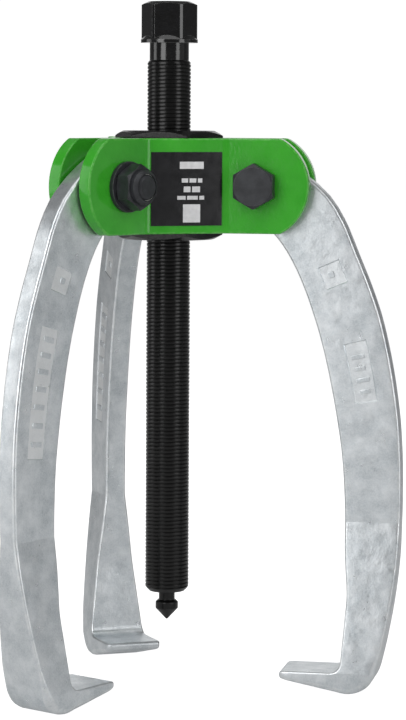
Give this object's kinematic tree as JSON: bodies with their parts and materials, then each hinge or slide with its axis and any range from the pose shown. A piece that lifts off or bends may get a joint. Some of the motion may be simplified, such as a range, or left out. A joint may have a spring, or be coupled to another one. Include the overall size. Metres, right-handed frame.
{
  "type": "gear puller",
  "caption": "Gear puller: hooked forged jaws pivot on a bent-plate yoke, and a fine-thread forcing screw runs through its hexagon hub nut to a free-turning centre point.",
  "frame": {"origin": "the tip of the centre point, on the spindle's axis", "axes": "+Z along the spindle from the point to the drive hexagon; the first jaw points 11.5 degrees clockwise of +X"},
  "size_m": [0.1909, 0.1928, 0.3311],
  "materials": {
    "green_paint": "gloss powder paint",
    "zinc_forging": "satin zinc plating over a drop forging",
    "black_screw": "oiled black oxide, semi-gloss",
    "black_fastener": "black oxide, satin",
    "nylon": "natural nylon",
    "label_film": "printed film",
    "ball_steel": "polished",
    "spring_steel": "drawn wire"
  },
  "bodies": {
    "yoke": {"hub_nut": "black_screw", "label": "label_film", "yoke_plate_1": "green_paint", "pivot_bolt_1": "black_fastener", "washer_1": "black_fastener", "lock_nut_1": "black_fastener", "nylon_ring_1": "nylon", "yoke_plate_2": "green_paint", "pivot_bolt_2": "black_fastener", "washer_2": "black_fastener", "lock_nut_2": "black_fastener", "nylon_ring_2": "nylon", "yoke_plate_3": "green_paint", "pivot_bolt_3": "black_fastener", "washer_3": "black_fastener", "lock_nut_3": "black_fastener", "nylon_ring_3": "nylon"},
    "point": {"centre_point": "black_screw"},
    "spindle": {"spindle": "black_screw", "thrust_ball": "ball_steel", "point_ring": "spring_steel"},
    "jaw_1": {"jaw_1": "zinc_forging"},
    "jaw_2": {"jaw_2": "zinc_forging"},
    "jaw_3": {"jaw_3": "zinc_forging"}
  },
  "joints": [
    {"name": "spindle_feed", "type": "slide", "parent": "yoke", "child": "point", "axis": [0, 0, 1], "range_m": [-0.03376, 0.16984]},
    {"name": "spindle_turn", "type": "hinge", "parent": "point", "child": "spindle", "pos_m": [0, 0, 0], "axis": [0, 0, 1], "range_deg": [-6660, 33660]},
    {"name": "jaw_1_swing", "type": "hinge", "parent": "yoke", "child": "jaw_1", "pos_m": [0.04361, -0.00887, 0.2108], "axis": [-0.1994, -0.9799, 0], "range_deg": [-9, 20]},
    {"name": "jaw_2_swing", "type": "hinge", "parent": "yoke", "child": "jaw_2", "pos_m": [-0.01412, 0.0422, 0.2108], "axis": [0.9483, 0.3173, 0], "range_deg": [-7.3, 21.7]},
    {"name": "jaw_3_swing", "type": "hinge", "parent": "yoke", "child": "jaw_3", "pos_m": [-0.02949, -0.03333, 0.2108], "axis": [-0.749, 0.6626, 0], "range_deg": [-7.6, 21.4]}
  ],
  "couplings": [
    {"joint": "spindle_feed", "follows": "spindle_turn", "m_per_rad": 0.00028875}
  ]
}
